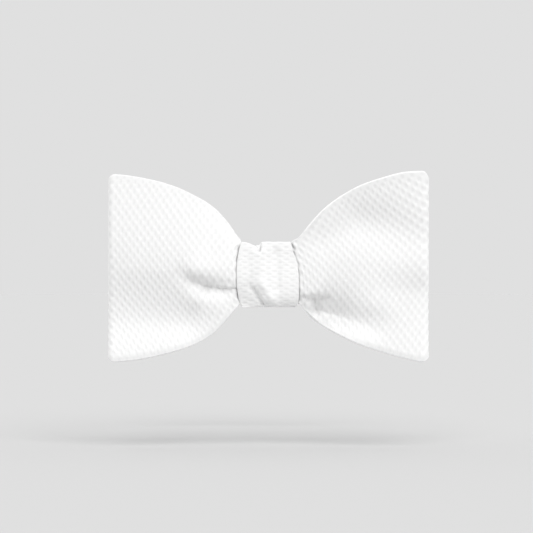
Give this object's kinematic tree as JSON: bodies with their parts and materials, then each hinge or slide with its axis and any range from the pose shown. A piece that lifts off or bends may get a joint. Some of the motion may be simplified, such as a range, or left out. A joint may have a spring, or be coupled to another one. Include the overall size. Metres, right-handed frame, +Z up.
{
  "type": "bow tie",
  "caption": "Pre-tied bow tie in white cotton pique: two gathered hollow wings, a wrapped knot and a neckband that closes at the nape with a flat clasp.",
  "frame": {"origin": "centre of the flat back of the knot, where it bears on the front of the collar", "axes": "+X to the right of someone facing the bow, -Y out of the bow's front towards them, +Z up as worn"},
  "size_m": [0.1146, 0.1318, 0.0682],
  "materials": {
    "pique": "matt white cotton pique with a honeycomb of small dimples",
    "clasp_steel": "plain nickel-coloured steel"
  },
  "bodies": {
    "root": {"left_wing": "pique", "right_wing": "pique", "knot": "pique", "neckband": "pique", "clasp": "clasp_steel"}
  },
  "joints": []
}
